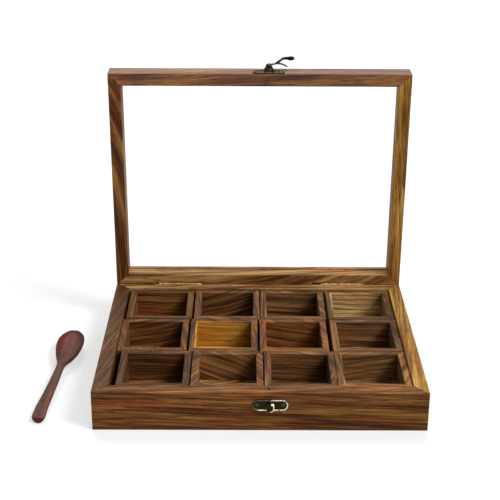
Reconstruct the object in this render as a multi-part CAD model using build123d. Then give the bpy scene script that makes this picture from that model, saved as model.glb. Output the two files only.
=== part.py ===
from build123d import *
import os
from math import asin, cos, degrees, radians, sin, tan

# Wooden spice box: a mitred tray with twelve loose cups, a glazed lid on two butt hinges,
# a horn hook with its catch, and a loose spoon beside the box.
# Millimetres. X runs to the right, Y to the back and Z up. The origin is at the middle of
# the tray's footprint, on the surface it stands on. The lid stands open against its stop.

# Tray
box_width = 305.0
box_depth = 235.4
box_height = 39.0
front_wall = 13.5
back_wall = 13.0
left_wall = 14.5
right_wall = 13.0
base_thickness = 4.5
base_rebate = 5.0             # the base panel runs this far into each wall
corner_round = 0.8            # upright outer corners of the tray and the lid
edge_ease = 0.5               # long edges of the tray walls and the lid rails

# Cups
cup_wall = 6.4
cup_floor = 4.5
cup_floor_rebate = 2.0
cup_rim_drop = 1.5            # cup rims below the tray's rim
cup_ease = 0.4
cup_clearance = 0.3           # least gap beside a cup
play_across = 9.5             # width that one row of cups leaves free
play_along = 2.8              # depth that one column of cups leaves free
play_shares = {               # how each row has been pushed: the share left of each cup
    "front": (0.68, 0.12, 0.10, 0.03),
    "middle": (0.01, 0.22, 0.21, 0.46),
    "back": (0.29, 0.22, 0.09, 0.26),
}

# Lid
lid_setback = 0.2             # lid sides inside the tray sides
lid_thickness = 21.0
lid_rail = 12.7
lid_gap = 0.3                 # between the closed lid and the tray's rim
open_angle = 88.0             # the bevels meet here
pane_thickness = 2.0
pane_height = 13.6            # from the lid's underside to the pane
groove_depth = 4.0
groove_clearance = 0.1
pane_edge_gap = 0.3

# Bevelled back edges, which stop the lid
bevel_width = 2.0
hinge_inset = 1.55            # hinge axis in front of the back face
stop_clearance = 0.2

# Hinges
hinge_length = 45.8
left_hinge_from_end = 68.5
right_hinge_from_end = 61.5
left_notch_slack = (3.6, 1.1)     # free notch to the left and right of the hinge
right_notch_slack = (10.4, 1.1)
knuckle_radius = 1.9
knuckle_count = 3
knuckle_gap = 0.2
notch_clearance = 0.3
hinge_pin_radius = 0.9
running_fit = 0.05
leaf_thickness = 1.0
leaf_width = 9.0
leaf_fit = 0.1
hinge_screw_spacing = 30.0
hinge_screw_head = 1.7
hinge_screw_sink = 0.6        # the head sits this deep in the leaf
hinge_screw_shank = 0.8
hinge_screw_length = 7.0

# Latch and catch plates
latch_offset = 8.8            # latch and catch to the right of the middle
latch_rise = 6.3              # hook pivot above the lid's underside
catch_drop = 12.2             # middle of the catch plate below the tray's rim
plate_length = 32.5
plate_width = 11.1
plate_thickness = 0.7
rim_height = 1.2
rim_width = 1.1
plate_screw_spacing = 23.8
plate_screw_head = 1.9
plate_screw_head_height = 0.8
plate_screw_shank = 0.9
plate_screw_length = 8.0

# Horn hook, its boss and its rivet
boss_radius = 4.75
boss_shoulder = 1.6
boss_top_radius = 3.6
boss_height = 2.4
hook_play = 0.2               # above and below the hook's hub
hook_thickness = 2.0
hub_radius = 4.2
stem_width = 3.4
stem_start = (2.1, -2.2)      # right and up from the pivot, hook latched
stem_bend = (7.6, -14.6)
claw_width = 2.2
claw_play = 1.4               # between the claw and the root of the tongue
claw_root_angle = -69.0
claw_tip_angle = -110.0
horn_radius = 1.4
horn_rise = 3.6               # the horn's tip stands this much further out than its root
horn_bend = (9.3, -28.2)
horn_tip = (2.4, -32.7)
horn_corners = 8
bulb_radius = 2.5
bulb_length = 5.4
bulb_slope = 1.2
rivet_radius = 1.5
rivet_head = 3.3
rivet_head_height = 2.5
rivet_head_slope = 1.3
rivet_depth = 5.0
hook_rest_turn = 136.0        # counter-clockwise from latched to at rest, lid open

# Catch tongue
tongue_width = 6.8
tongue_thickness = 1.3
tongue_reach = 6.6            # outer face of the tongue from the wall
tongue_top = 3.3              # above the middle of the plate
tongue_end = -4.3
tongue_bend = 2.4

# Locating pin
locating_offset = 7.6
locating_setback = 7.0
locating_radius = 1.25
locating_depth = 4.0
locating_length = 3.0
locating_clearance = 0.2

# Spoon
spoon_x = -204.5              # end of the handle
spoon_y = -110.0
spoon_turn = 4.5              # clockwise from straight back
spoon_length = 164.5
bowl_length = 57.5
bowl_width = 27.5
bowl_depth = 12.5
bowl_shell = 2.0
bowl_tilt = 5.0
handle_end_width = 12.5
handle_thickness = 7.0
handle_crown_width = 16.0     # width at which the domed faces would meet
handle_waist_width = 9.0
handle_waist_at = 62.0
neck_width = 7.0
neck_rise = 8.0               # middle of the neck above the table
handle_lap = 6.0              # the handle's length inside the bowl

# Worked out from the sizes above
inner_left = left_wall - box_width / 2
inner_right = box_width / 2 - right_wall
inner_front = front_wall - box_depth / 2
inner_back = box_depth / 2 - back_wall
back_face = box_depth / 2
lid_width = box_width - 2 * lid_setback
lid_bottom = box_height + lid_gap
axis_y = back_face - hinge_inset
axis_z = box_height + lid_gap / 2
bevel_drop = hinge_inset * tan(radians(open_angle / 2)) + (stop_clearance - lid_gap) / 2
notch_reach = knuckle_radius + notch_clearance
knuckle_pitch = hinge_length / knuckle_count
left_hinge_x = left_hinge_from_end - box_width / 2
right_hinge_x = box_width / 2 - right_hinge_from_end
pivot_z = lid_bottom + latch_rise
catch_z = box_height - catch_drop
tongue_root = catch_z + tongue_top - tongue_thickness
claw_radius = pivot_z - tongue_root + claw_play + claw_width / 2
hook_bottom = boss_height + hook_play
bowl_round = ((bowl_width / 2) ** 2 + bowl_depth ** 2) / (2 * bowl_depth)
keel_round = ((bowl_length / 2) ** 2 + bowl_depth ** 2) / (2 * bowl_depth)
neck_at = spoon_length - bowl_length
rivet_seat = hook_bottom + hook_thickness + hook_play

low = Align.MIN
middle = Align.CENTER
sides = ("front", "right", "back", "left")


def save(name, *solids):
    shape = solids[0] if len(solids) == 1 else Compound(children=list(solids))
    export_step(shape, os.path.join("parts", name + ".step"))


def corners(left, front, right, back):
    return [(left, front), (right, front), (right, back), (left, back)]


def mitred_side(outer, inner, side, bottom, height, ease):
    # One side of a frame, cut at both ends along the line from outer to inner corner.
    start = sides.index(side)
    end = (start + 1) % len(sides)
    plan = Polygon(outer[start], outer[end], inner[end], inner[start], align=None)
    bar = Pos(Z=bottom) * extrude(plan, amount=height)
    run = Axis.X if side in ("front", "back") else Axis.Y
    return chamfer(bar.edges().filter_by(run), ease)


def rounded_block(width, bottom, height):
    return Pos(Z=bottom) * extrude(RectangleRounded(width, box_depth, corner_round), amount=height)


def disc(radius, height):
    return Cylinder(radius, height, align=(middle, middle, low))


def shank(radius, length):
    # A pin or a hole that goes into the wood from the face at height 0.
    return Cylinder(radius, length, align=(middle, middle, Align.MAX))


def on_front(height):
    # Fittings are drawn flat, then stood on the front face: X right, Y up, Z outwards.
    return Plane(origin=(latch_offset, -back_face, height), x_dir=(1, 0, 0), z_dir=(0, -1, 0))


def swing_open(shape):
    hinge_line = Location((0, axis_y, axis_z))
    return hinge_line * Rot(X=-open_angle) * hinge_line.inverse() * shape


def to_lid(shape):
    # The lid's half of the hinge line is the tray's half, turned over.
    return mirror(shape, about=Plane.XY.offset(axis_z))


# Back edge and hinges

def bevel_cutter():
    profile = Polygon(
        (back_face - 2 * bevel_width, box_height + bevel_drop),
        (back_face + bevel_width, box_height - 2 * bevel_drop),
        (back_face + bevel_width, box_height + bevel_drop),
        align=None,
    )
    return extrude(Plane.YZ * profile, amount=box_width, both=True)


def notch_cutter(hinge_x, slack):
    # A square notch for the hinge, and a round one beside it that leaves the wall's back edge standing.
    start, length = hinge_x - hinge_length / 2 - slack[0], hinge_length + sum(slack)
    hinge_notch = Box(hinge_length + 2 * leaf_fit, notch_reach + 2 * hinge_inset, 2 * notch_reach,
                      align=(middle, low, middle))
    side_notch = Rot(Y=90) * Cylinder(notch_reach, length, align=(middle, middle, low))
    return Pos(hinge_x, axis_y - notch_reach, axis_z) * hinge_notch + Pos(start, axis_y, axis_z) * side_notch


def leaf_screw_places(hinge_x):
    height = axis_z - notch_reach - leaf_width / 2
    face = Plane(origin=(hinge_x, back_face, height), x_dir=(-1, 0, 0), z_dir=(0, 1, 0))
    return [face * Pos(X=step * hinge_screw_spacing / 2) for step in (-1, 1)]


def flat_screw(growth=0.0):
    head = shank(hinge_screw_head + growth, hinge_screw_sink)
    return head + shank(hinge_screw_shank + growth, hinge_screw_length)


def leaf_cutter(hinge_x):
    depth = leaf_width + notch_reach + leaf_fit
    bed = Box(hinge_length + 2 * leaf_fit, 2 * leaf_thickness, depth,
              align=(middle, middle, Align.MAX))
    cutter = Pos(hinge_x, back_face, axis_z) * bed
    for place in leaf_screw_places(hinge_x):
        cutter += place * shank(hinge_screw_shank, hinge_screw_length)
    return cutter


def hinge_leaf(hinge_x, first_knuckle):
    plate = Box(hinge_length, leaf_thickness, leaf_width, align=(middle, Align.MAX, Align.MAX))
    leaf = Pos(hinge_x, back_face, axis_z - notch_reach) * plate
    knuckle_length = knuckle_pitch - knuckle_gap
    barrel_start = hinge_x - hinge_length / 2
    for index in range(first_knuckle, knuckle_count, 2):
        centre = barrel_start + (index + 0.5) * knuckle_pitch
        web = Box(knuckle_length, leaf_thickness, notch_reach, align=(middle, Align.MAX, Align.MAX))
        leaf += Pos(centre, back_face, axis_z) * web
        leaf += Pos(centre, axis_y, axis_z) * Rot(Y=90) * Cylinder(knuckle_radius, knuckle_length)
    bore = Rot(Y=90) * Cylinder(hinge_pin_radius + running_fit, 2 * hinge_length)
    leaf -= Pos(hinge_x, axis_y, axis_z) * bore
    for place in leaf_screw_places(hinge_x):
        leaf -= place * flat_screw(running_fit)
    return leaf


def hinge_pin(hinge_x):
    return Pos(hinge_x, axis_y, axis_z) * Rot(Y=90) * Cylinder(hinge_pin_radius, hinge_length)


def hinge(name, hinge_x):
    screws = [place * flat_screw() for place in leaf_screw_places(hinge_x)]
    save(name + "_box_leaf", hinge_leaf(hinge_x, 0))
    save(name + "_box_screws", *screws)
    save(name + "_pin", hinge_pin(hinge_x))
    save(name + "_lid_leaf", swing_open(to_lid(hinge_leaf(hinge_x, 1))))
    save(name + "_lid_screws", *[swing_open(to_lid(screw)) for screw in screws])


# Tray

def tray_wall(side):
    outer = corners(-box_width / 2, -back_face, box_width / 2, back_face)
    inner = corners(inner_left, inner_front, inner_right, inner_back)
    return mitred_side(outer, inner, side, 0, box_height, edge_ease) & rounded_block(
        box_width, 0, box_height)


def base_panel():
    width = inner_right - inner_left + 2 * base_rebate
    depth = inner_back - inner_front + 2 * base_rebate
    centre_x = (inner_left + inner_right) / 2
    centre_y = (inner_front + inner_back) / 2
    return Pos(centre_x, centre_y, 0) * Box(width, depth, base_thickness, align=(middle, middle, low))


def locating_hole():
    hole = shank(locating_radius + locating_clearance, locating_length + locating_clearance)
    return Pos(locating_offset, locating_setback - back_face, box_height) * hole


def plate_screw_places(height):
    face = on_front(height)
    return [face * Pos(X=step * plate_screw_spacing / 2) for step in (-1, 1)]


def plate_screw():
    head = Pos(Z=plate_thickness) * disc(plate_screw_head, plate_screw_head_height)
    neck = Pos(Z=plate_thickness) * shank(plate_screw_shank, plate_thickness + plate_screw_length)
    return head + neck


def tray():
    base = base_panel()
    walls = {side: tray_wall(side) - base for side in sides}
    walls["front"] -= locating_hole()
    for place in plate_screw_places(catch_z):
        walls["front"] -= place * shank(plate_screw_shank, plate_screw_length)
    for side in ("right", "back", "left"):
        walls[side] -= bevel_cutter()
    for hinge_x, slack in ((left_hinge_x, left_notch_slack), (right_hinge_x, right_notch_slack)):
        walls["back"] -= notch_cutter(hinge_x, slack)
        walls["back"] -= leaf_cutter(hinge_x)
    for side in sides:
        save(side + "_wall", walls[side])
    save("base_panel", base)


# Cups

cup_width = (inner_right - inner_left - play_across) / len(play_shares["front"])
cup_depth = (inner_back - inner_front - play_along) / len(play_shares)
cup_height = box_height - cup_rim_drop - base_thickness


def cup_floor_panel():
    width = cup_width - 2 * (cup_wall - cup_floor_rebate)
    depth = cup_depth - 2 * (cup_wall - cup_floor_rebate)
    return Box(width, depth, cup_floor, align=(middle, middle, low))


def cup_side(side):
    outer = corners(-cup_width / 2, -cup_depth / 2, cup_width / 2, cup_depth / 2)
    inner = corners(cup_wall - cup_width / 2, cup_wall - cup_depth / 2,
                    cup_width / 2 - cup_wall, cup_depth / 2 - cup_wall)
    return mitred_side(outer, inner, side, 0, cup_height, cup_ease) - cup_floor_panel()


def cups():
    walls = [cup_side(side) for side in sides]
    floor = cup_floor_panel()
    row_gap = play_along / (len(play_shares) + 1)
    front = inner_front + row_gap
    for row, shares in play_shares.items():
        spare = play_across - (len(shares) + 1) * cup_clearance
        left = inner_left
        for column, share in enumerate(shares, start=1):
            left += cup_clearance + share * spare
            place = Pos(left + cup_width / 2, front + cup_depth / 2, base_thickness)
            save(f"cup_{row}_{column}_walls", *[place * wall for wall in walls])
            save(f"cup_{row}_{column}_floor", place * floor)
            left += cup_width
        front += cup_depth + row_gap


# Lid, drawn closed and then swung open

def lid_side(side):
    outer = corners(-lid_width / 2, -back_face, lid_width / 2, back_face)
    inner = corners(lid_rail - lid_width / 2, lid_rail - back_face,
                    lid_width / 2 - lid_rail, back_face - lid_rail)
    bar = mitred_side(outer, inner, side, lid_bottom, lid_thickness, edge_ease)
    return bar & rounded_block(lid_width, lid_bottom, lid_thickness)


def sheet_in_lid(reach, thickness, height):
    # A sheet as large as the lid's opening and this much more on each side.
    width = lid_width - 2 * lid_rail + 2 * reach
    depth = box_depth - 2 * lid_rail + 2 * reach
    return Pos(Z=lid_bottom + height) * Box(width, depth, thickness, align=(middle, middle, low))


def locating_pin():
    length = locating_depth + locating_length
    peg = disc(locating_radius, length)
    return Pos(locating_offset, locating_setback - back_face, lid_bottom - locating_length) * peg


def lid():
    groove = sheet_in_lid(groove_depth, pane_thickness + 2 * groove_clearance,
                          pane_height - groove_clearance)
    rails = {side: lid_side(side) - groove for side in sides}
    rails["front"] -= locating_pin()
    rails["front"] -= on_front(pivot_z) * shank(rivet_radius, rivet_depth)
    for place in plate_screw_places(pivot_z):
        rails["front"] -= place * shank(plate_screw_shank, plate_screw_length)
    for side in ("right", "back", "left"):
        rails[side] -= to_lid(bevel_cutter())
    for hinge_x, slack in ((left_hinge_x, left_notch_slack), (right_hinge_x, right_notch_slack)):
        rails["back"] -= notch_cutter(hinge_x, slack)
        rails["back"] -= to_lid(leaf_cutter(hinge_x))
    for side in sides:
        save(f"lid_{side}_rail", swing_open(rails[side]))
    pane = sheet_in_lid(groove_depth - pane_edge_gap, pane_thickness, pane_height)
    save("lid_pane", swing_open(pane))
    save("locating_pin", swing_open(locating_pin()))


# Latch and catch

def rimmed_plate():
    outline = extrude(SlotOverall(plate_length, plate_width), amount=rim_height)
    field = SlotOverall(plate_length - 2 * rim_width, plate_width - 2 * rim_width)
    plate = outline - Pos(Z=plate_thickness) * extrude(field, amount=rim_height)
    for step in (-1, 1):
        hole = Pos(step * plate_screw_spacing / 2, 0, plate_thickness)
        plate -= hole * shank(plate_screw_shank, plate_thickness)
    return plate


def latch_plate():
    boss = disc(boss_radius, boss_shoulder) + disc(boss_top_radius, boss_height)
    hole = Pos(Z=boss_height) * shank(rivet_radius, boss_height)
    return rimmed_plate() + boss - hole


def rivet():
    head = disc(rivet_head, rivet_head_height)
    head = chamfer(head.edges().sort_by(Axis.Z)[-1], rivet_head_slope)
    return Pos(Z=rivet_seat) * (head + shank(rivet_radius, rivet_seat + rivet_depth))


def on_claw(angle):
    return (claw_radius * cos(radians(angle)), claw_radius * sin(radians(angle)))


def hook_blade():
    fork = on_claw(claw_root_angle)
    stem = SlotArc(ThreePointArc(stem_start, stem_bend, fork), stem_width)
    sweep_angle = claw_tip_angle - claw_root_angle
    claw = SlotArc(CenterArc((0, 0), claw_radius, claw_root_angle, sweep_angle), claw_width)
    outline = Circle(hub_radius) + stem + claw
    return extrude(outline, amount=hook_thickness)


def hook_horn():
    fork = on_claw(claw_root_angle)
    root = Vector(fork[0], fork[1], hook_thickness / 2)
    bend = Vector(horn_bend[0], horn_bend[1], hook_thickness / 2 + horn_rise / 2)
    tip = Vector(horn_tip[0], horn_tip[1], hook_thickness / 2 + horn_rise)
    path = ThreePointArc(root, bend, tip)
    section = RegularPolygon(horn_radius, horn_corners, rotation=180 / horn_corners)
    horn = sweep(Plane(origin=root, z_dir=path % 0) * section, path=path)
    bulb = Cylinder(bulb_radius, bulb_length)
    bulb = chamfer(bulb.edges().filter_by(GeomType.CIRCLE), bulb_slope)
    return horn + Plane(origin=tip, z_dir=path % 1) * bulb


def latch_hook():
    bore = Cylinder(rivet_radius + running_fit, 4 * hook_thickness)
    hook = Pos(Z=hook_bottom) * (hook_blade() + hook_horn() - bore)
    return Rot(Z=hook_rest_turn) * hook


def catch_plate():
    reach = tongue_reach
    height = tongue_top - tongue_end
    outer = Pos(0, tongue_top) * Rectangle(reach, height, align=(low, Align.MAX))
    hollow = Pos(0, tongue_top - tongue_thickness) * Rectangle(
        reach - tongue_thickness, height, align=(low, Align.MAX))
    outer_corner = outer.vertices().sort_by(Axis.X)[-2:].sort_by(Axis.Y)[-1]
    hollow_corner = hollow.vertices().sort_by(Axis.X)[-2:].sort_by(Axis.Y)[-1]
    outer = fillet(outer_corner, tongue_bend)
    hollow = fillet(hollow_corner, tongue_bend - tongue_thickness)
    profile = Plane(origin=(0, 0, 0), x_dir=(0, 0, 1), z_dir=(-1, 0, 0)) * (outer - hollow)
    tongue = extrude(profile, amount=tongue_width / 2, both=True)
    return rimmed_plate() + tongue


def fittings():
    latch_face = on_front(pivot_z)
    catch_face = on_front(catch_z)
    save("latch_plate", swing_open(latch_face * latch_plate()))
    save("latch_rivet", swing_open(latch_face * rivet()))
    save("latch_hook", swing_open(latch_face * latch_hook()))
    latch_screws = [place * plate_screw() for place in plate_screw_places(pivot_z)]
    save("latch_screws", *[swing_open(screw) for screw in latch_screws])
    save("catch_plate", catch_face * catch_plate())
    save("catch_screws", *[place * plate_screw() for place in plate_screw_places(catch_z)])


# Spoon, drawn along Y from the end of its handle

def bent_bar():
    # Domed above and below, bent upwards so that the end lies on the table and the neck is raised.
    crown = handle_crown_width / 2
    dome = handle_thickness / 2
    upper = ThreePointArc((-crown, 0), (0, dome), (crown, 0))
    lower = ThreePointArc((crown, 0), (0, -dome), (-crown, 0))
    section = Plane.XZ * Pos(0, dome) * make_face([upper, lower])
    climb = neck_rise - dome
    bend_round = (neck_at ** 2 + climb ** 2) / (2 * climb)
    turn = degrees(asin((neck_at + handle_lap) / bend_round))
    return revolve(section, axis=Axis((0, 0, dome + bend_round), (1, 0, 0)), revolution_arc=turn)


def handle_plan():
    # Seen from above: a round end, slimmer to the waist and the neck.
    end = handle_end_width / 2
    waist = handle_waist_width / 2
    neck = neck_width / 2
    stop = neck_at + 2 * handle_lap
    outline = make_face([
        ThreePointArc((-end, end), (0, 0), (end, end)),
        ThreePointArc((end, end), (waist, handle_waist_at), (neck, stop)),
        Line((neck, stop), (-neck, stop)),
        ThreePointArc((-neck, stop), (-waist, handle_waist_at), (-end, end)),
    ])
    return extrude(outline, amount=2 * neck_rise)


def bowl_body(shrink, top):
    # Round in section across the spoon, with the keel bent to a longer arc.
    ring = Rot(Y=90) * Torus(keel_round - bowl_round, bowl_round - shrink)
    return split(ring, bisect_by=Plane.XY.offset(top - keel_round), keep=Keep.BOTTOM)


def spoon():
    lean = (keel_round - bowl_depth) * sin(radians(bowl_tilt))
    seat = Pos(0, spoon_length - bowl_length / 2 - lean, keel_round) * Rot(X=bowl_tilt)
    shape = seat * bowl_body(0, bowl_depth) + (bent_bar() & handle_plan())
    shape -= seat * bowl_body(bowl_shell, bowl_depth + bowl_shell)
    return Pos(spoon_x, spoon_y, 0) * Rot(Z=-spoon_turn) * shape


os.makedirs("parts", exist_ok=True)
tray()
cups()
lid()
hinge("hinge_left", left_hinge_x)
hinge("hinge_right", right_hinge_x)
fittings()
save("spoon", spoon())
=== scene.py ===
from math import cos, pi, radians, sin

import bmesh
import bpy
from mathutils import Matrix, Vector


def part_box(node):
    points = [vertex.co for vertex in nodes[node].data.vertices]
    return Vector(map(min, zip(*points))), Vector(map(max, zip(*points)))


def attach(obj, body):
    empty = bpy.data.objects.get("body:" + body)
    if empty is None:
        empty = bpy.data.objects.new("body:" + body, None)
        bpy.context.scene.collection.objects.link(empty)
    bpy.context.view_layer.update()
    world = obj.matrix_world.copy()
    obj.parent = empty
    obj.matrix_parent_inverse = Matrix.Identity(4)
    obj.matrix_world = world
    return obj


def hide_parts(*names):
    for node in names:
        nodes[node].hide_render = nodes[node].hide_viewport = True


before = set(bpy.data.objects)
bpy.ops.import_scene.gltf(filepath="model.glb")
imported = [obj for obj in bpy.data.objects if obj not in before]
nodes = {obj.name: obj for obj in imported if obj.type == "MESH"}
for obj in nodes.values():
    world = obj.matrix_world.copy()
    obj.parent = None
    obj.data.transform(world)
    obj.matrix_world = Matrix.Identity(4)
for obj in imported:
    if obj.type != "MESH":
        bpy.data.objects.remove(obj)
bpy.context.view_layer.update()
print("frame loaded:", len(nodes), "nodes")

# place and clipping in metres, angles in degrees, lens and sensor in millimetres
cameraView = {"place": (-0.01444, -1.0362, 0.5663), "yaw": 0.27, "down": 22.91, "roll": 0.32,
              "lens": 84.42, "sensor": 36, "clip": (0.05, 60)}


def makeCamera(view):
    yaw, down, roll = (radians(view[k]) for k in ("yaw", "down", "roll"))
    ahead = Vector((sin(yaw) * cos(down), cos(yaw) * cos(down), -sin(down)))
    level = Vector((cos(yaw), -sin(yaw), 0))
    above = level.cross(ahead)
    right = level * cos(roll) + above * sin(roll)
    up = above * cos(roll) - level * sin(roll)
    data = bpy.data.cameras.new("camera")
    data.sensor_width = view["sensor"]
    data.lens = view["lens"]
    data.clip_start, data.clip_end = view["clip"]
    camera = bpy.data.objects.new("camera", data)
    bpy.context.scene.collection.objects.link(camera)
    turn = Matrix((right, up, -ahead)).transposed().to_4x4()
    camera.matrix_world = Matrix.Translation(Vector(view["place"])) @ turn
    bpy.context.scene.camera = camera


class Wire:
    # a node's output that can be used in plain expressions
    def __init__(self, tree, socket=None):
        self.tree = tree
        self.socket = socket

    def node(self, kind, settings=None, inputs=None, output=0):
        made = self.tree.nodes.new(kind)
        for key, value in (settings or {}).items():
            if key == "stops":
                fillRamp(made.color_ramp, value)
            else:
                setattr(made, key, value)
        for key, value in (inputs or {}).items():
            if isinstance(value, Wire):
                self.tree.links.new(value.socket, made.inputs[key])
            else:
                made.inputs[key].default_value = value
        return Wire(self.tree, made.outputs[output])

    def calc(self, operation, first, second=0.0):
        if self.socket.type == "VECTOR" or self.socket.type == "RGBA":
            spread = [(v, v, v) if isinstance(v, (int, float)) else v for v in (first, second)]
            return self.node("ShaderNodeVectorMath", {"operation": operation}, dict(enumerate(spread)))
        return self.node("ShaderNodeMath", {"operation": operation}, {0: first, 1: second})

    def __add__(self, other):
        return self.calc("ADD", self, other)

    def __radd__(self, other):
        return self.calc("ADD", other, self)

    def __sub__(self, other):
        return self.calc("SUBTRACT", self, other)

    def __rsub__(self, other):
        return self.calc("SUBTRACT", other, self)

    def __mul__(self, other):
        return self.calc("MULTIPLY", self, other)

    def __rmul__(self, other):
        return self.calc("MULTIPLY", other, self)

    def __pow__(self, other):
        return self.calc("POWER", self, other)

    def __abs__(self):
        return self.calc("ABSOLUTE", self)

    def above(self, limit):
        return self.calc("GREATER_THAN", self, limit)

    def below(self, limit):
        return self.calc("LESS_THAN", self, limit)

    def larger(self, other):
        return self.calc("MAXIMUM", self, other)


def fillRamp(ramp, stops):
    while len(ramp.elements) < len(stops):
        ramp.elements.new(1.0)
    for element, (at, color) in zip(ramp.elements, stops):
        element.position = at
        element.color = color


def tone(red, green, blue):
    # a colour as the screen shows it, turned into the shader's own numbers
    return tuple(((c / 255 + 0.055) / 1.055) ** 2.4 for c in (red, green, blue)) + (1.0,)


def split(point):
    return [point.node("ShaderNodeSeparateXYZ", None, {0: point}, i) for i in range(3)]


def noise(point, stretch, seed, detail=2.0, rough=0.5):
    moved = point * stretch + (seed, seed * 1.7, seed * 0.6)
    return moved.node("ShaderNodeTexNoise", None,
                      {"Vector": moved, "Scale": 1.0, "Detail": detail, "Roughness": rough})


def step(value, low, high):
    # 0 at low, 1 at high, smooth between
    return value.node("ShaderNodeMapRange", {"interpolation_type": "SMOOTHSTEP"},
                      {"Value": value, "From Min": low, "From Max": high})


def blendColor(mask, first, second):
    return mask.node("ShaderNodeMix", {"data_type": "RGBA"}, {0: mask, 6: first, 7: second}, 2)


def bump(height, strength, depth):
    return height.node("ShaderNodeBump", None, {"Strength": strength, "Distance": depth, "Height": height})


def coordinate(start, kind):
    return start.node("ShaderNodeTexCoord", None, None, kind)


def newMaterial(name, values):
    material = bpy.data.materials.new(name)
    material.use_nodes = True
    shader = material.node_tree.nodes["Principled BSDF"]
    for key, value in values.items():
        shader.inputs[key].default_value = value
    return material, Wire(material.node_tree), shader


def feed(shader, key, wire):
    wire.tree.links.new(wire.socket, shader.inputs[key])


def setMaterial(piece, material):
    piece.data.materials.clear()
    piece.data.materials.append(material)


# each wood: its dark, middle and light tones, and the colour of its veins
woods = {
    "brown": {"tones": ((66, 38, 18), (112, 72, 36), (150, 106, 58)), "vein": (44, 24, 12)},
    "russet": {"tones": ((70, 38, 18), (118, 72, 36), (158, 108, 56)), "vein": (46, 24, 12)},
    "umber": {"tones": ((56, 34, 18), (98, 64, 34), (138, 98, 56)), "vein": (34, 20, 12)},
    "honey": {"tones": ((108, 68, 26), (172, 122, 54), (214, 170, 88)), "vein": (70, 40, 18)},
    "pale": {"tones": ((92, 58, 30), (152, 110, 64), (190, 148, 94)), "vein": (60, 34, 18)},
    "rose": {"tones": ((56, 30, 18), (88, 50, 31), (112, 70, 43)), "vein": (42, 20, 13)},
    "turmeric": {"tones": ((136, 94, 34), (184, 136, 52), (212, 168, 82)), "vein": (120, 72, 20)},
}
# the usual board: width of its bands, and length and depth of their sway in metres, how far they run
# across and up for each metre along the board, where the tree's heart lies beside it, how strong its
# veins are, and its brightness, as one number or as red, green and blue
usual = {"wood": "brown", "pitch": 0.0044, "wave": 0.08, "sway": 0.006, "slope": (0.0, 0.03),
         "heart": (0.06, -0.10), "veins": 0.6, "contrast": 1.0, "bright": 1.0, "sheen": 0.08}
# marks that follow the rings: how many to the metre along the board, how much finer than the bands they
# are, the shift of their seed, and the noise's detail and roughness
marks = {"bands": (7, 1, 3, 1.0, 0.5), "lines": (14, 2.8, 5, 2.0, 0.6), "hair": (45, 8, 7, 2.0, 0.6),
         "veins": (8, 0.9, 9, 3.0, 0.6), "pores": (110, 9, 14, 1.0, 0.5)}
# redder and greener patches: where the noise starts and ends them, their strength and their tint
patches = ((0.52, 0.66, 0.6, (1.22, 0.86, 0.74)), (0.46, 0.34, 0.5, (1.02, 1.06, 0.84)))
toneSpread = 0.085         # from the middle tone to the dark or the light one
toneShares = {"bands": 0.34, "lines": 0.38, "hair": 0.14, "cloud": 0.14}
reliefs = {"hair": 0.5, "lines": 0.4, "pores": 0.8, "veins": 0.3}      # pores and veins are sunk
# where the noise makes a vein's middle, breaks it off, and makes a pore: none to full
fades = {"vein": (0.006, 0.045), "veinGap": (0.36, 0.56), "pore": (0.60, 0.70)}


def woodPoint(start, centre, turn):
    # the board's own frame: X along the grain
    place = coordinate(start, "Object")
    return start.node("ShaderNodeMapping", {"vector_type": "TEXTURE"},
                      {"Vector": place, "Location": centre, "Rotation": turn})


def woodFigure(point, look, seed):
    # colour, roughness and height of the wood at a point of the board
    look = {**usual, **look}
    wood = woods[look["wood"]]
    along, across, up = split(point)
    sway = (noise(point, (1 / look["wave"], 22, 22), seed, 1.0) - 0.5) * look["sway"]
    sideways = across - look["heart"][0] + along * look["slope"][0] + sway
    upwards = up - look["heart"][1] + along * look["slope"][1] + sway
    rings = (sideways * sideways + upwards * upwards) ** 0.5
    flow = point.node("ShaderNodeCombineXYZ", None, {0: along, 1: rings, 2: 0.0})     # follows the rings

    def mark(name):
        often, finer, shift, detail, rough = marks[name]
        return noise(flow, (often, finer / look["pitch"], 1), seed + shift, detail, rough)

    lines, hair = mark("lines"), mark("hair")
    cloud = noise(point, (11, 38, 38), seed + 4, 2.0)
    level = (mark("bands") * toneShares["bands"] + lines * toneShares["lines"] + hair * toneShares["hair"]
             + cloud * toneShares["cloud"])
    spread = toneSpread / look["contrast"]
    stops = [(0.5 + side * spread, tone(*color)) for side, color in zip((-1, 0, 1), wood["tones"])]
    color = level.node("ShaderNodeValToRGB", {"stops": stops}, {0: level})
    patch = noise(point, (16, 60, 60), seed + 17, 2.0)
    for low, high, strength, tint in patches:
        color = blendColor(step(patch, low, high) * strength, color, color * tint)
    vein = (1 - step(abs(mark("veins") - 0.5), *fades["vein"])) * step(cloud, *fades["veinGap"])
    pores = step(mark("pores"), *fades["pore"])
    color = blendColor(vein * look["veins"], color, tone(*wood["vein"]))
    shade = (0.58 + hair * 0.84) * (1 - pores * 0.35)
    color = color * look["bright"] * shade
    rough = 0.40 + hair * 0.16 + pores * 0.2
    height = (hair * reliefs["hair"] + lines * reliefs["lines"] - pores * reliefs["pores"]
              - vein * reliefs["veins"])
    return color, rough, height


def finishWood(shader, color, rough, height):
    feed(shader, "Base Color", color)
    feed(shader, "Roughness", rough)
    feed(shader, "Normal", bump(height, 0.5, 0.0003))


def woodMaterial(name, centre, turn, look, seed):
    material, start, shader = newMaterial(name, {"Specular IOR Level": look.get("sheen", usual["sheen"])})
    point = woodPoint(start, centre, turn)
    color, rough, height = woodFigure(point, look, seed)
    # painted shade: the right-hand faces are darkened by the given tint
    if "rightFaceShade" in look:
        right = split(coordinate(start, "Normal"))[0]
        color = blendColor(step(right, 0.6, 0.9), color, color * look["rightFaceShade"])
    finishWood(shader, color, rough, height)
    return material


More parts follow.
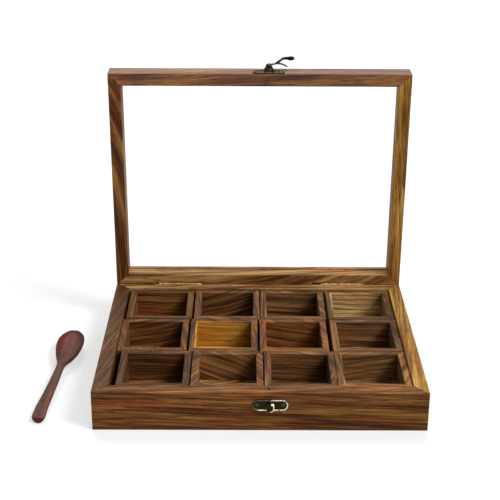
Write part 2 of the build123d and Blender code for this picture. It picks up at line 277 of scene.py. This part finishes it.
def turned(*steps):
    # a board's frame after turning it about X, Y or Z in degrees, first step first
    turn = Matrix.Identity(3)
    for axis, angle in steps:
        turn = Matrix.Rotation(radians(angle), 3, axis) @ turn
    return turn.to_euler()


def middleOf(node):
    low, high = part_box(node)
    return (low + high) / 2, (high - low) / 2


openAngle = 88.0
alongX = turned()
alongY = turned(("Z", 90))
lidAcross = turned(("X", openAngle))
lidUp = turned(("Z", 90), ("X", 180 - openAngle))
# each board: how its grain lies, its seed and its look; its right-hand face gets painted shade where a tint
# is given
boards = {
    "front_wall": (alongX, 1.3, {"wood": "russet", "slope": (0.0, 0.035), "bright": 1.08}),
    "back_wall": (alongX, 5.1, {"wood": "pale", "bright": (1.1, 1.2, 1.35)}),
    "left_wall": (alongY, 8.7, {"wood": "umber", "slope": (0.3, 0.03), "heart": (0.08, -0.05),
                                "contrast": 0.6, "bright": 0.84}),
    "right_wall": (alongY, 12.9, {"wood": "honey", "slope": (0.1, 0.03), "heart": (0.08, -0.05),
                                  "bright": 0.88, "rightFaceShade": (0.62, 0.52, 0.46)}),
    "base_panel": (alongX, 15.5, {}),
    "lid_front_rail": (lidAcross, 21.3, {"wood": "russet", "sheen": 0.4, "bright": 1.1}),
    "lid_back_rail": (lidAcross, 25.8, {"wood": "pale", "slope": (0.2, 0.2), "bright": 1.15}),
    "lid_left_rail": (lidUp, 29.1, {"slope": (0.2, 0.2), "pitch": 0.0034, "bright": 1.55}),
    "lid_right_rail": (lidUp, 33.7, {"wood": "honey", "slope": (0.05, 0.05),
                                     "rightFaceShade": (0.62, 0.52, 0.46)}),
}


def frameBoards():
    for node, (turn, seed, look) in boards.items():
        centre, half = middleOf(node)
        setMaterial(nodes[node], woodMaterial(node, centre, turn, look, seed))


# one entry for each cup; the brightness of its inside in red, green and blue is painted light that lifts the
# shade in the cup, and stain is the wood whose tones the spice has left there
cups = {
    "front_1": {"wood": "umber", "bright": 1.15, "inner": (0.98, 0.92, 0.95)},
    "front_2": {"slope": (0.35, 0.25), "pitch": 0.0028, "bright": 0.95, "inner": (1.55, 1.82, 2.2)},
    "front_3": {"wood": "umber", "bright": 1.3, "inner": (1.28, 1.36, 1.5)},
    "front_4": {"slope": (0.0, -0.1), "bright": 1.4, "inner": (1.6, 2.15, 3.1)},
    "middle_1": {"slope": (0.2, -0.3), "bright": 0.95, "inner": (1.15, 1.15, 1.2)},
    "middle_2": {"stain": "turmeric", "inner": (1.05, 1.05, 1.05)},
    "middle_3": {"wood": "russet", "slope": (0.1, 0.15), "bright": 1.08, "inner": (1.35, 1.4, 1.5)},
    "middle_4": {"wood": "umber", "bright": 1.3, "inner": (2.1, 2.6, 3.5)},
    "back_1": {"bright": 0.5, "inner": (1.3, 1.3, 1.4)},
    "back_2": {"wood": "umber", "slope": (0.0, -0.3), "bright": 1.15, "inner": (1.45, 1.5, 1.6)},
    "back_3": {"wood": "umber", "bright": 1.25, "inner": (1.6, 1.84, 2.5)},
    "back_4": {"wood": "pale", "bright": 0.4, "inner": (1.5, 2.0, 2.8)},
}
cupFigure = {"wave": 0.05, "sway": 0.005, "pitch": 0.0032}
# in metres: the wall, how far its rim's colour runs down inside, how ragged that is, the painted corner
# shade's width, and where the painted shade at the wall's foot starts and ends below the cup's middle
cupSizes = {"wall": 0.0064, "rounding": 0.0025, "ragged": 0.003, "corner": 0.018, "foot": (0.004, 0.013)}
cupShade = {"corner": 0.6, "foot": 0.15, "floor": 1.4}     # how dark the painted shade in corner and foot is, and how much lighter the floor is painted


def innerLook(look):
    wood = look.get("stain", look.get("wood", usual["wood"]))
    return {**cupFigure, **look, "wood": wood, "bright": look["inner"]}


def cupMaterial(node, look, seed):
    centre, half = middleOf(node)
    material, start, shader = newMaterial(node, {"Specular IOR Level": usual["sheen"]})
    x, y, z = split(woodPoint(start, centre, alongX))
    # the grain turns with each wall, meets the next one along the mitre, and differs from wall to wall
    ends = (abs(x) - abs(y)).above(half.x - half.y)
    along = x + (y - x) * ends
    across = y + (x - y) * ends
    far = across.calc("SIGN", across)
    point = across.node("ShaderNodeCombineXYZ", None, {0: along + ends * 0.37 + far * 0.11,
                                                       1: across + far * 0.05, 2: z + ends * 0.02})
    color, rough, height = woodFigure(point, {**cupFigure, **look}, seed)
    # the inside: the same figure painted lighter, painted light that lifts the cup's shade
    innerColor = woodFigure(point, innerLook(look), seed)[0]
    edge = noise(point, (60, 60, 60), seed, 3.0) * cupSizes["ragged"]
    reach = cupSizes["rounding"] - cupSizes["wall"]
    inside = (abs(x) + edge).below(half.x + reach) * (abs(y) + edge).below(half.y + reach)
    # painted shade: darker towards the right-hand wall inside, where its shadow falls, and towards the bottom
    # at the back
    face = half.x - cupSizes["wall"]
    corner = step(x - edge * 2, face - cupSizes["corner"], face) * cupShade["corner"]
    corner = corner + step(-1 * z, *cupSizes["foot"]) * step(y, 0.0, 0.01) * cupShade["foot"]
    color = blendColor(inside, color, innerColor * (1 - corner))
    finishWood(shader, color, rough, height)
    return material


def cupWood():
    for number, (cup, look) in enumerate(cups.items()):
        seed = 40 + number * 3.3
        walls, floor = f"cup_{cup}_walls", f"cup_{cup}_floor"
        setMaterial(nodes[walls], cupMaterial(walls, look, seed))
        centre, half = middleOf(floor)
        # the floor is painted lighter still, painted light in the shade at the cup's bottom
        floorLook = innerLook(look)
        floorLook["bright"] = tuple(value * cupShade["floor"] for value in look["inner"])
        setMaterial(nodes[floor], woodMaterial(floor, centre, alongX, floorLook, seed + 1.1))


# the metals' own tones, dull and rubbed, with their roughness and seed
metals = {"brass": ((160, 124, 70), (204, 174, 114), 0.24, 3),
          "dullBrass": ((64, 52, 26), (136, 128, 84), 0.36, 9),
          "screwBronze": ((52, 50, 40), (96, 94, 80), 0.32, 5)}
glass = {"Base Color": (0.6, 0.64, 0.62, 1), "Roughness": 0.04, "IOR": 1.5}


def metalMaterial(name):
    dull, rubbed, rough, seed = metals[name]
    material, start, shader = newMaterial(name, {"Metallic": 1.0})
    patina = noise(coordinate(start, "Object"), (260, 260, 260), seed, 3.0, 0.6)
    feed(shader, "Base Color", blendColor(step(patina, 0.4, 0.68), tone(*dull), tone(*rubbed)))
    feed(shader, "Roughness", rough + patina * 0.2)
    feed(shader, "Normal", bump(patina, 0.3, 0.0002))
    return material


def glassMaterial():
    material, start, shader = newMaterial("paneGlass", glass)
    facing = start.node("ShaderNodeFresnel", None, {"IOR": glass["IOR"]})
    feed(shader, "Alpha", 0.01 + facing * 0.3)
    return material


def metalAndGlass():
    brass = metalMaterial("brass")
    for node in nodes:
        if node.startswith("hinge_"):
            setMaterial(nodes[node], brass)
    setMaterial(nodes["locating_pin"], metalMaterial("dullBrass"))
    setMaterial(nodes["lid_pane"], glassMaterial())


# the latch and the catch, in millimetres on the face that they are screwed to: X right, Y up, Z out
plate = {"length": 32.5, "width": 11.1, "field": 0.7, "rim": 1.3, "rimWidth": 1.15, "fillet": 0.2,
         "screwsApart": 23.8}
tongue = {"width": 7.0, "thick": 1.3, "root": 0.3, "top": 3.3, "end": -4.3, "reach": 6.6, "bend": 2.4}
# turned forms, each as distance from the axis and height
boss = {"outline": ((0.0, 0.3), (5.3, 0.3), (5.2, 2.2), (5.0, 3.4), (4.4, 4.7), (3.5, 5.7), (0.0, 5.9))}
rivetHead = {"outline": ((0.0, 0.5), (1.5, 0.5), (1.5, 8.1), (2.5, 8.1), (2.4, 8.6), (1.7, 9.1),
                         (0.8, 9.3), (0.0, 9.35))}
screwHead = {"outline": ((0.0, -6.0), (0.7, -5.0), (0.8, 0.5), (1.9, 0.6), (1.75, 1.1), (1.1, 1.5),
                         (0.0, 1.65)), "slot": (0.5, 0.5)}
# the hook as it lies with the lid open: right, up and out from its pivot, and half its width there
hook = {"hub": ((1.6, 6.1), (3.1, 6.1), (3.3, 6.6), (3.3, 7.6), (3.0, 8.1), (1.6, 8.1), (1.6, 6.1)),
        "flat": 0.5,
        "blade": ((1.6, 1.8, 7.2, 1.9), (3.4, 7.6, 6.1, 2.0), (5.0, 16.4, 4.1, 1.9),
                  (9.2, 19.4, 4.0, 1.8), (14.8, 17.4, 3.7, 1.6), (18.6, 9.6, 3.3, 1.2)),
        "horn": ((8.0, 18.0, 4.5, 1.3), (12.0, 20.4, 6.6, 1.25), (15.2, 25.2, 8.0, 1.5),
                 (20.4, 25.4, 7.5, 1.75)),
        "bulb": ((19.3, 25.4, 7.5, 1.0), (19.6, 25.4, 7.5, 1.9), (22.0, 25.4, 7.5, 2.25),
                 (24.6, 25.2, 7.5, 2.2), (26.2, 25.0, 7.4, 1.4), (26.5, 25.0, 7.4, 0.4))}
latchHeight = 0.0456       # the hook's pivot, lid closed, in metres
castGrain = 0.0002         # size of the cells that round a casting's corners, in metres
hingeLine = Vector((0, 0.11615, 0.03915))
bronze = {"field": (34, 33, 24), "worn": (96, 90, 66), "bright": (236, 226, 192)}
# where a casting is rubbed bright or carries a painted highlight, on its own axes: each pair of numbers fades
# from none to full
wearAndHighlight = {"rimUp": (0.95, 1.15), "overRim": (1.8, 2.2), "rimHighlightSide": (-16.0, -2.0), "rimPatch": (0.35, 0.6),
           "tongueHighlightEdge": (2.3, 2.9), "tongueHighlightRight": (-1.5, 1.0), "tongueHighlightOut": (4.6, 5.2),
           "bendHighlightUp": (1.9, 2.6), "bendHighlightRight": (0.4, 1.2), "bendHighlightOut": (3.0, 4.0),
           "proud": (1.3, 2.4), "outward": (0.5, 1.1), "proudPatch": (0.44, 0.62)}


def onFront(height):
    # from millimetres on the front face, at this height in metres, to the frame
    across = sum(c.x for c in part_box("catch_plate")) / 2
    face = max(c.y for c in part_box("catch_plate"))
    turn = Matrix(((1, 0, 0), (0, 0, -1), (0, 1, 0))).to_4x4()
    return Matrix.Translation((across, face, height)) @ turn @ Matrix.Scale(0.001, 4)


def swungOpen():
    turn = Matrix.Rotation(-radians(openAngle), 4, "X")
    return Matrix.Translation(hingeLine) @ turn @ Matrix.Translation(-hingeLine)


def makePiece(name, shape, place, material, body, node, grain=None):
    shape.transform(place)
    bmesh.ops.remove_doubles(shape, verts=shape.verts, dist=1e-7)
    bmesh.ops.recalc_face_normals(shape, faces=shape.faces)
    mesh = bpy.data.meshes.new(name)
    shape.to_mesh(mesh)
    shape.free()
    piece = bpy.data.objects.new(name, mesh)
    bpy.context.scene.collection.objects.link(piece)
    mesh.shade_smooth()
    if grain:
        cast = piece.modifiers.new("cast", "REMESH")
        cast.mode, cast.voxel_size, cast.use_smooth_shade = "VOXEL", grain, True
        worn = piece.modifiers.new("worn", "SMOOTH")
        worn.factor, worn.iterations = 0.5, 3
    else:
        mesh.set_sharp_from_angle(angle=radians(40))
    setMaterial(piece, material)
    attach(piece, body)
    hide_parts(node)


def vertsOf(geom):
    return [g for g in geom if isinstance(g, bmesh.types.BMVert)]


def facesOf(geom):
    return [g for g in geom if isinstance(g, bmesh.types.BMFace)]


def spinOutline(shape, outline, steps=40):
    verts = [shape.verts.new((radius, 0, height)) for radius, height in outline]
    edges = [shape.edges.new(pair) for pair in zip(verts, verts[1:])]
    bmesh.ops.spin(shape, geom=verts + edges, cent=(0, 0, 0), axis=(0, 0, 1), angle=2 * pi, steps=steps,
                   use_merge=True)


def addRod(shape, points, flat=1.0):
    # a rod through the points, each with its own half width, thinner out from the face by flat
    data = bpy.data.curves.new("rod", "CURVE")
    data.dimensions, data.use_fill_caps = "3D", True
    data.bevel_depth, data.bevel_resolution, data.resolution_u = 1.0, 6, 8
    spline = data.splines.new("NURBS")
    spline.points.add(len(points) - 1)
    for point, (x, y, z, radius) in zip(spline.points, points):
        point.co = (x, y, z / flat, 1)
        point.radius = radius
    spline.order_u, spline.use_endpoint_u = 3, True
    rod = bpy.data.objects.new("rod", data)
    mesh = bpy.data.meshes.new_from_object(rod)
    before = set(shape.verts)
    shape.from_mesh(mesh)
    added = [v for v in shape.verts if v not in before]
    bmesh.ops.scale(shape, verts=added, vec=(1, 1, flat))
    bpy.data.objects.remove(rod)
    bpy.data.curves.remove(data)
    bpy.data.meshes.remove(mesh)


def stretchRing(shape, verts, length, width):
    # a round shape becomes one with straight sides and round ends
    for side in (-1, 1):
        half = [v for v in verts if v.co.x * side > 0.001]
        bmesh.ops.translate(shape, verts=half, vec=(side * (length - width) / 2, 0, 0))


def addPlate(shape):
    disc = bmesh.ops.create_circle(shape, cap_ends=True, radius=plate["width"] / 2, segments=48)
    stretchRing(shape, disc["verts"], plate["length"], plate["width"])
    grown = bmesh.ops.extrude_face_region(shape, geom=shape.faces[:])["geom"]
    bmesh.ops.translate(shape, verts=vertsOf(grown), vec=(0, 0, plate["rim"]))
    top = facesOf(grown)
    bmesh.ops.inset_region(shape, faces=top, thickness=plate["rimWidth"], use_even_offset=True)
    bmesh.ops.inset_region(shape, faces=top, thickness=plate["fillet"], depth=plate["field"] - plate["rim"],
                           use_even_offset=True)


def addTongue(shape):
    # out from the plate, round a bend, and down to a round end
    wide, bend, top, root = tongue["width"] / 2, tongue["bend"], tongue["top"], tongue["root"]
    low = top - tongue["thick"]
    corners = [(-wide, top), (wide, top), (wide, low), (-wide, low)]
    foot = shape.faces.new([shape.verts.new((x, y, root)) for x, y in corners])
    lead = bmesh.ops.extrude_face_region(shape, geom=[foot])["geom"]
    bmesh.ops.translate(shape, verts=vertsOf(lead), vec=(0, 0, tongue["reach"] - bend - root))
    end = facesOf(lead)
    bent = bmesh.ops.spin(shape, geom=end + end[0].edges[:] + end[0].verts[:], axis=(1, 0, 0),
                          cent=(0, top - bend, tongue["reach"] - bend), angle=pi / 2, steps=8)
    tip = facesOf(bent["geom_last"])
    roundAt, rows = tongue["end"] + wide, 8
    for row in range(rows):
        angle = radians(80) * row / (rows - 1)
        tip = bmesh.ops.extrude_discrete_faces(shape, faces=tip)["faces"]
        for vert in tip[0].verts:
            vert.co.y = roundAt - wide * sin(angle)
            vert.co.x = wide * cos(angle) * (1 if vert.co.x > 0 else -1)


def addScrews(shape):
    width, depth = screwHead["slot"]
    for side in (-1, 1):
        head = bmesh.new()
        spinOutline(head, screwHead["outline"], 28)
        for edge in (-1, 1):
            bmesh.ops.bisect_plane(head, geom=head.verts[:] + head.edges[:] + head.faces[:],
                                   plane_co=(edge * width / 2, 0, 0), plane_no=(1, 0, 0))
        middles = [(f, f.calc_center_median()) for f in head.faces]
        floor = [f for f, middle in middles if abs(middle.x) < width / 2 and middle.z > 0.7]
        sunk = bmesh.ops.extrude_face_region(head, geom=floor)["geom"]
        bmesh.ops.delete(head, geom=floor, context="FACES")
        bmesh.ops.translate(head, verts=vertsOf(sunk), vec=(0, 0, -depth))
        turn = Matrix.Rotation(radians(35 + 50 * side), 3, "Z")
        bmesh.ops.rotate(head, verts=head.verts, cent=(0, 0, 0), matrix=turn)
        bmesh.ops.translate(head, verts=head.verts, vec=(side * plate["screwsApart"] / 2, 0, 0))
        bmesh.ops.recalc_face_normals(head, faces=head.faces)
        spare = bpy.data.meshes.new("spare")
        head.to_mesh(spare)
        head.free()
        shape.from_mesh(spare)
        bpy.data.meshes.remove(spare)


def bronzeMaterial(name, place, seed, rimWearAndHighlight, tongueHighlight, proudWearAndHighlight):
    # dark in the hollows, rubbed bright on the rim with a painted highlight stronger to the right and below,
    # a painted highlight on the right of the tongue's bend and end, and rubbed bright with painted highlights
    # on what stands proud and faces out
    def worn(value, key):
        return step(value, *wearAndHighlight[key])

    material, start, shader = newMaterial(name, {"Metallic": 1.0})
    turn = place.to_3x3().normalized().to_euler()
    where, normal = coordinate(start, "Object"), coordinate(start, "Normal")
    point = where.node("ShaderNodeMapping", {"vector_type": "TEXTURE"},
                       {"Vector": where, "Location": place.translation, "Rotation": turn,
                        "Scale": (0.001, 0.001, 0.001)})
    facing = normal.node("ShaderNodeMapping", {"vector_type": "TEXTURE"},
                         {"Vector": normal, "Rotation": turn})
    x, y, z = split(point)
    outward = split(facing)[2]
    patina = noise(point, (0.42, 0.42, 0.42), seed, 3.0, 0.6)
    # the rim: rubbed bright, with a painted highlight stronger to the right and below
    rim = worn(z, "rimUp") * (1 - worn(z, "overRim")) * (0.3 + worn(x - y * 1.4, "rimHighlightSide") * 0.7)
    roundAt = tongue["end"] + tongue["width"] / 2
    under = (y - roundAt).calc("MINIMUM", y - roundAt, 0.0)
    fromMiddle = (x * x + under * under) ** 0.5
    # painted highlight on the tongue's right edge and round end, and on the right of its bend
    edge = worn(fromMiddle, "tongueHighlightEdge") * worn(x, "tongueHighlightRight") * worn(z, "tongueHighlightOut")
    bend = worn(y, "bendHighlightUp") * worn(x, "bendHighlightRight") * worn(z, "bendHighlightOut")
    # what stands proud and faces out: rubbed bright in patches, partly a painted highlight
    proud = worn(z, "proud") * worn(outward + (patina - 0.5) * 2, "outward") * worn(patina, "proudPatch")
    rim = rim * rimWearAndHighlight * (0.45 + worn(patina, "rimPatch") * 0.55)
    rubbed = edge.larger(bend) * tongueHighlight + proud * proudWearAndHighlight + rim
    stops = [(at, tone(*bronze[part])) for at, part in ((0.0, "field"), (0.4, "worn"), (1.0, "bright"))]
    color = rubbed.node("ShaderNodeValToRGB", {"stops": stops}, {0: rubbed})
    feed(shader, "Base Color", color * (0.7 + patina * 0.6))
    feed(shader, "Roughness", 0.30 + patina * 0.16)
    feed(shader, "Normal", bump(patina, 0.3, 0.0002))
    return material


def latchAndCatch():
    catchPlace = onFront(sum(c.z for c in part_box("catch_plate")) / 2)
    latchPlace = swungOpen() @ onFront(latchHeight)
    catchBronze = bronzeMaterial("catchBronze", catchPlace, 7, 1.0, 1.0, 0.0)
    latchBronze = bronzeMaterial("latchBronze", latchPlace, 11, 0.40, 0.0, 0.35)
    hookBronze = bronzeMaterial("hookBronze", latchPlace, 13, 0.0, 0.0, 0.12)
    screwBronze = metalMaterial("screwBronze")
    shape = bmesh.new()
    addPlate(shape)
    addTongue(shape)
    makePiece("catchPlate", shape, catchPlace, catchBronze, "tray", "catch_plate", castGrain)
    shape = bmesh.new()
    addPlate(shape)
    spinOutline(shape, boss["outline"])
    makePiece("latchPlate", shape, latchPlace, latchBronze, "lid", "latch_plate", castGrain)
    shape = bmesh.new()
    addScrews(shape)
    makePiece("catchScrews", shape, catchPlace, screwBronze, "tray", "catch_screws")
    shape = bmesh.new()
    addScrews(shape)
    makePiece("latchScrews", shape, latchPlace, screwBronze, "lid", "latch_screws")
    shape = bmesh.new()
    spinOutline(shape, rivetHead["outline"])
    makePiece("latchRivet", shape, latchPlace, latchBronze, "lid", "latch_rivet")
    shape = bmesh.new()
    spinOutline(shape, hook["hub"])
    addRod(shape, hook["blade"], hook["flat"])
    addRod(shape, hook["horn"])
    addRod(shape, hook["bulb"])
    makePiece("latchHook", shape, latchPlace, hookBronze, "hook", "latch_hook", castGrain)


# the spoon, in millimetres from the end of the handle, with its turn in degrees; each row of sizes is the
# distance along it, its middle, half its width, the height of its top, its thickness and its dish's depth
spoon = {"end": (-0.2045, -0.110, 0.0), "turn": 4.5, "middle": (0, 84, 6), "rim": 1.8, "rounding": 0.9,
         "rings": 150, "around": 72,
         "sizes": ((2.2, 0.6, 1.0, 3.6, 1.6, 0.0), (2.6, 0.6, 3.6, 4.9, 4.4, 0.0),
                   (3.6, 0.6, 5.5, 5.8, 5.8, 0.0), (6.0, 0.5, 6.3, 6.0, 6.0, 0.0),
                   (12, 0.2, 6.4, 6.2, 6.0, 0.0), (24, -0.2, 6.0, 6.6, 5.8, 0.0),
                   (46, 0.5, 5.2, 7.6, 5.2, 0.0), (66, 0.9, 4.7, 8.8, 5.0, 0.0),
                   (84, 1.2, 4.2, 10.2, 5.0, 0.0), (94, 1.3, 4.2, 10.9, 5.0, 0.1),
                   (100, 1.5, 4.9, 11.2, 5.4, 0.4), (105, 1.8, 6.6, 11.5, 6.4, 1.0),
                   (110, 2.0, 8.6, 11.8, 8.0, 1.8), (117, 2.0, 10.6, 12.2, 9.8, 2.9),
                   (125, 1.8, 12.3, 12.6, 11.6, 3.8), (134, 1.4, 13.5, 12.9, 12.6, 4.2),
                   (143, 1.0, 13.9, 13.1, 12.8, 4.2), (150, 0.6, 13.3, 13.3, 12.2, 3.8),
                   (156, 0.3, 11.8, 13.4, 10.8, 3.2), (160.5, 0.1, 9.6, 13.5, 9.0, 2.2),
                   (163.6, 0.0, 7.2, 13.5, 7.0, 1.2), (165.6, 0.0, 4.8, 13.4, 5.2, 0.4),
                   (166.6, 0.0, 2.8, 13.2, 4.0, 0.2), (167.0, 0.0, 1.0, 12.9, 3.0, 0.0))}
# painted shade on the bowl's right edge and tip: shares of the half width, and millimetres along the spoon
spoonShadeEdge = {"side": (0.80, 0.95), "tip": (162.5, 164.5), "fadeIn": (60, 120), "lean": 1.1}
spoonLook = {"wood": "rose", "pitch": 0.0030, "heart": (0.03, -0.04), "slope": (0.05, 0.02), "veins": 0.5,
             "bright": (0.82, 0.68, 0.54)}
# the bowl's own redder tone, the painted shade on the spoon's sides, and the end grain's tone
spoonTones = {"bowl": (98, 40, 30), "side": (40, 12, 8), "end": (104, 26, 18)}
spoonFades = {"bowl": (0.020, 0.055), "side": (0.25, 0.8), "end": (-0.080, -0.077)}   # metres; side as slope


def between(value, low, high):
    return min(max((value - low) / (high - low), 0), 1)


def spoonSizes(along):
    for before, after in zip(spoon["sizes"], spoon["sizes"][1:]):
        if along <= after[0]:
            break
    share = between(along, before[0], after[0])
    return [low + (high - low) * share for low, high in zip(before[1:], after[1:])]


def spoonShape():
    # a subdivided cylinder along the spoon; each of its rings is given the spoon's section at that place
    shape = bmesh.new()
    bmesh.ops.create_cone(shape, cap_ends=True, segments=spoon["around"], radius1=1, radius2=1, depth=2)
    sides = [e for e in shape.edges if abs(e.verts[0].co.z - e.verts[1].co.z) > 1]
    bmesh.ops.subdivide_edges(shape, edges=sides, cuts=spoon["rings"], use_grid_fill=True)
    edge = shape.verts.layers.float.new("edge")
    first, last = spoon["sizes"][0][0], spoon["sizes"][-1][0]
    for vert in shape.verts:
        across, up = vert.co.x, vert.co.y
        reach = (1 - cos((vert.co.z + 1) / 2 * pi)) / 2     # rings lie closer together at both ends
        along = first + (last - first) * reach
        middle, half, top, thick, dish = spoonSizes(along)
        inside = min(abs(across) * half / max(half - spoon["rim"], 0.5), 1)
        rounding = spoon["rounding"] * min(thick / 6, 1)
        if up >= 0:
            height = top - dish * (1 - inside ** 4) - rounding * between(abs(across), 0.8, 1) ** 2
        else:
            height = top - rounding - (thick - rounding) * (1 - across ** 2) ** 0.6
        # painted shade along the bowl's right edge and tip, kept on each vertex
        paintedShade = max(between(across * spoonShadeEdge["lean"], *spoonShadeEdge["side"]), between(along, *spoonShadeEdge["tip"]))
        vert[edge] = paintedShade * between(along, *spoonShadeEdge["fadeIn"])
        vert.co = (middle + half * across, along, max(height, 0.0))
    return shape


def makeSpoon():
    lie = Matrix.Rotation(-radians(spoon["turn"]), 4, "Z")
    place = Matrix.Translation(spoon["end"]) @ lie @ Matrix.Scale(0.001, 4)
    material, start, shader = newMaterial("spoonWood", {"Specular IOR Level": 0.15})
    middle = place @ Vector(spoon["middle"])
    point = woodPoint(start, middle, turned(("Z", 90 - spoon["turn"])))
    color, rough, height = woodFigure(point, spoonLook, 51.0)
    along = split(point)[0]
    # painted shade: the faces that turn from the top, and the bowl's right edge and tip, are darkened
    side = 1 - step(split(coordinate(start, "Normal"))[2], *spoonFades["side"])
    edge = start.node("ShaderNodeAttribute", {"attribute_name": "edge"}, None, "Fac")
    color = blendColor(step(along, *spoonFades["bowl"]) * 0.6, color, tone(*spoonTones["bowl"]))
    color = blendColor((side * 0.75).larger(edge * 0.9), color, tone(*spoonTones["side"]))
    color = blendColor((1 - step(along, *spoonFades["end"])) * side, color, tone(*spoonTones["end"]))
    finishWood(shader, color, rough, height)
    makePiece("spoonWhole", spoonShape(), place, material, "spoon", "spoon")


# shadeLight is what the white surroundings shine on the object; floorTone and floorLift are the floor's
# own colour and what it glows with where it is seen; softness is a lamp's width in degrees
studio = {"shadeLight": 0.22, "floorTone": 0.55, "floorLift": 0.50, "floorSize": 20,
          "keyLamp": {"from": (0.85, -0.40, 1.0), "strength": 2.4, "softness": 25},
          "backLamp": {"from": (-0.05, 0.75, 1.0), "strength": 1.5, "softness": 35}}


def seenDirectly(start):
    kinds = ("Is Camera Ray", "Is Glossy Ray", "Is Transmission Ray")
    first, second, third = (start.node("ShaderNodeLightPath", None, None, kind) for kind in kinds)
    return first.larger(second).larger(third)


def makeLamp(name):
    lamp = studio[name]
    data = bpy.data.lights.new(name, "SUN")
    data.energy = lamp["strength"]
    data.angle = radians(lamp["softness"])
    lampObject = bpy.data.objects.new(name, data)
    bpy.context.scene.collection.objects.link(lampObject)
    lampObject.rotation_euler = Vector(lamp["from"]).to_track_quat("Z", "Y").to_euler()


def makeStudio():
    world = bpy.data.worlds.new("world")
    bpy.context.scene.world = world
    world.use_nodes = True
    start = Wire(world.node_tree)
    background = world.node_tree.nodes["Background"]
    background.inputs["Color"].default_value = (1, 1, 1, 1)
    shadeLight = studio["shadeLight"]
    feed(background, "Strength", shadeLight + seenDirectly(start) * (1 - shadeLight))
    mesh = bpy.data.meshes.new("floor")
    shape = bmesh.new()
    bmesh.ops.create_grid(shape, x_segments=1, y_segments=1, size=studio["floorSize"])
    shape.to_mesh(mesh)
    shape.free()
    floor = bpy.data.objects.new("floor", mesh)
    bpy.context.scene.collection.objects.link(floor)
    level = studio["floorTone"]
    material, start, shader = newMaterial("floor", {
        "Base Color": (level, level, level, 1), "Roughness": 0.9, "Specular IOR Level": 0.1,
        "Emission Strength": 1.0})
    feed(shader, "Emission Color", seenDirectly(start) * studio["floorLift"])
    setMaterial(floor, material)
    makeLamp("keyLamp")
    makeLamp("backLamp")


makeCamera(cameraView)
makeStudio()
print("camera and studio")
frameBoards()
print("frame boards")
cupWood()
print("cups")
metalAndGlass()
print("metal and glass")
latchAndCatch()
print("latch and catch")
makeSpoon()
print("spoon")

bpy.context.scene.view_settings.view_transform = "Standard"
